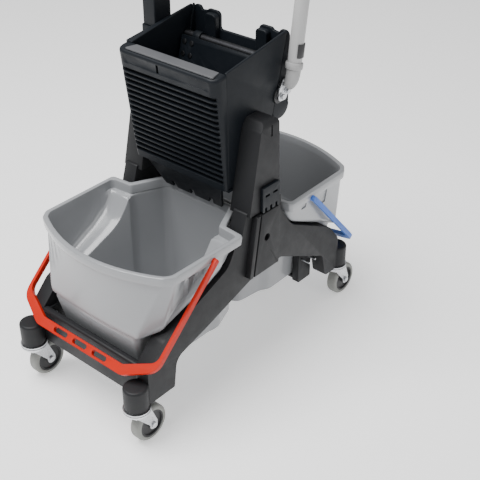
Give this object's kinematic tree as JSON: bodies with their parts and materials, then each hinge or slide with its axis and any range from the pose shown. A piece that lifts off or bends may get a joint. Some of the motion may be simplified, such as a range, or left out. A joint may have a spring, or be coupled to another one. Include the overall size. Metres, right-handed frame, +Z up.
{
  "type": "mop bucket trolley",
  "caption": "Castored trolley with front and rear lift-out grey buckets, a lever-worked mop press between them, swinging bail handles and a push post.",
  "frame": {"origin": "middle of the footprint, on the floor", "axes": "+Z up, +X to the trolley's right (the lever's side), front bucket towards -Y"},
  "size_m": [0.428, 0.8309, 1.0096],
  "materials": {
    "chassis_plastic": "moulded charcoal plastic, fine grain",
    "press_plastic": "moulded black plastic, fine grain",
    "strip_plastic": "moulded grey plastic",
    "bucket_plastic": "moulded light grey plastic, slight sheen",
    "red_plastic": "moulded red plastic",
    "blue_plastic": "moulded blue plastic",
    "lever_aluminium": "matt anodised tube",
    "elbow_plastic": "moulded mid grey plastic",
    "zinc_steel": "bright zinc plate",
    "dark_steel": "dark plated steel",
    "hub_plastic": "black plastic",
    "tyre_rubber": "grey non-marking rubber",
    "grip_rubber": "matt black rubber"
  },
  "bodies": {
    "chassis": {"side_frame_left": "chassis_plastic", "side_frame_right": "chassis_plastic", "front_apron": "chassis_plastic", "rear_crossbar": "chassis_plastic", "tower_left": "chassis_plastic", "tower_right": "chassis_plastic", "foot_cover_left": "chassis_plastic", "foot_cover_right": "chassis_plastic", "latch_plate_left": "press_plastic", "latch_plate_right": "press_plastic", "press_front_wall": "press_plastic", "press_top_strip": "strip_plastic", "press_side_left": "press_plastic", "press_side_right": "press_plastic", "press_back_wall": "press_plastic", "press_back_housing": "press_plastic", "press_floor": "press_plastic", "drip_lip": "press_plastic", "post_sleeve": "press_plastic", "push_post": "press_plastic", "push_handle": "grip_rubber", "frame_bolts": "zinc_steel", "shaft_bushes": "hub_plastic", "jaw_hinge_rod": "dark_steel", "caster_races": "zinc_steel", "caster_stems": "zinc_steel"},
    "lever": {"lever_shaft": "zinc_steel", "lever_bracket": "zinc_steel", "lever_bolts": "zinc_steel", "lever_elbow": "elbow_plastic", "lever_tube": "lever_aluminium", "lever_clip": "hub_plastic", "lever_grip": "grip_rubber", "lever_crank": "zinc_steel", "return_spring": "zinc_steel"},
    "jaw": {"jaw_plate": "press_plastic", "jaw_hinges": "press_plastic", "jaw_bolts": "dark_steel"},
    "front_bucket": {"bucket_front": "bucket_plastic", "bail_pins_front": "bucket_plastic"},
    "rear_bucket": {"bucket_rear": "bucket_plastic", "bail_pins_rear": "bucket_plastic"},
    "front_bail": {"bail_front": "red_plastic"},
    "rear_bail": {"bail_rear": "blue_plastic"},
    "caster_front_left": {"caster_fork_front_left": "zinc_steel", "caster_axle_front_left": "zinc_steel"},
    "wheel_front_left": {"wheel_hub_front_left": "hub_plastic", "wheel_tyre_front_left": "tyre_rubber"},
    "caster_front_right": {"caster_fork_front_right": "zinc_steel", "caster_axle_front_right": "zinc_steel"},
    "wheel_front_right": {"wheel_hub_front_right": "hub_plastic", "wheel_tyre_front_right": "tyre_rubber"},
    "caster_rear_left": {"caster_fork_rear_left": "zinc_steel", "caster_axle_rear_left": "zinc_steel"},
    "wheel_rear_left": {"wheel_hub_rear_left": "hub_plastic", "wheel_tyre_rear_left": "tyre_rubber"},
    "caster_rear_right": {"caster_fork_rear_right": "zinc_steel", "caster_axle_rear_right": "zinc_steel"},
    "wheel_rear_right": {"wheel_hub_rear_right": "hub_plastic", "wheel_tyre_rear_right": "tyre_rubber"}
  },
  "joints": [
    {"name": "swivel_front_left", "type": "hinge", "parent": "chassis", "child": "caster_front_left", "pos_m": [-0.172, -0.386, 0.095], "axis": [0, 0, 1], "continuous": true},
    {"name": "spin_front_left", "type": "hinge", "parent": "caster_front_left", "child": "wheel_front_left", "pos_m": [-0.172, -0.356, 0.044], "axis": [1, 0, 0], "continuous": true},
    {"name": "swivel_front_right", "type": "hinge", "parent": "chassis", "child": "caster_front_right", "pos_m": [0.172, -0.386, 0.095], "axis": [0, 0, 1], "continuous": true},
    {"name": "spin_front_right", "type": "hinge", "parent": "caster_front_right", "child": "wheel_front_right", "pos_m": [0.172, -0.356, 0.044], "axis": [1, 0, 0], "continuous": true},
    {"name": "swivel_rear_left", "type": "hinge", "parent": "chassis", "child": "caster_rear_left", "pos_m": [-0.172, 0.34, 0.095], "axis": [0, 0, 1], "continuous": true},
    {"name": "spin_rear_left", "type": "hinge", "parent": "caster_rear_left", "child": "wheel_rear_left", "pos_m": [-0.172, 0.37, 0.044], "axis": [1, 0, 0], "continuous": true},
    {"name": "swivel_rear_right", "type": "hinge", "parent": "chassis", "child": "caster_rear_right", "pos_m": [0.172, 0.34, 0.095], "axis": [0, 0, 1], "continuous": true},
    {"name": "spin_rear_right", "type": "hinge", "parent": "caster_rear_right", "child": "wheel_rear_right", "pos_m": [0.172, 0.37, 0.044], "axis": [1, 0, 0], "continuous": true},
    {"name": "front_bucket_lift", "type": "slide", "parent": "chassis", "child": "front_bucket", "axis": [0, 0, 1], "range_m": [0, 0.06]},
    {"name": "rear_bucket_lift", "type": "slide", "parent": "chassis", "child": "rear_bucket", "axis": [0, 0, 1], "range_m": [0, 0.06]},
    {"name": "front_bail_swing", "type": "hinge", "parent": "front_bucket", "child": "front_bail", "pos_m": [0, -0.168, 0.387], "axis": [-1, 0, 0], "range_deg": [0, 125]},
    {"name": "rear_bail_swing", "type": "hinge", "parent": "rear_bucket", "child": "rear_bail", "pos_m": [0, 0.179, 0.387], "axis": [1, 0, 0], "range_deg": [0, 110]},
    {"name": "lever_pull", "type": "hinge", "parent": "chassis", "child": "lever", "pos_m": [0, 0.124, 0.647], "axis": [-1, 0, 0], "range_deg": [0, 50], "stiffness_Nm_per_rad": 2, "springref_deg": -28.65},
    {"name": "jaw_swing", "type": "hinge", "parent": "chassis", "child": "jaw", "pos_m": [0, 0.124, 0.725], "axis": [-1, 0, 0], "range_deg": [0, 20]}
  ],
  "couplings": [
    {"joint": "jaw_swing", "follows": "lever_pull", "ratio": 0.4}
  ]
}
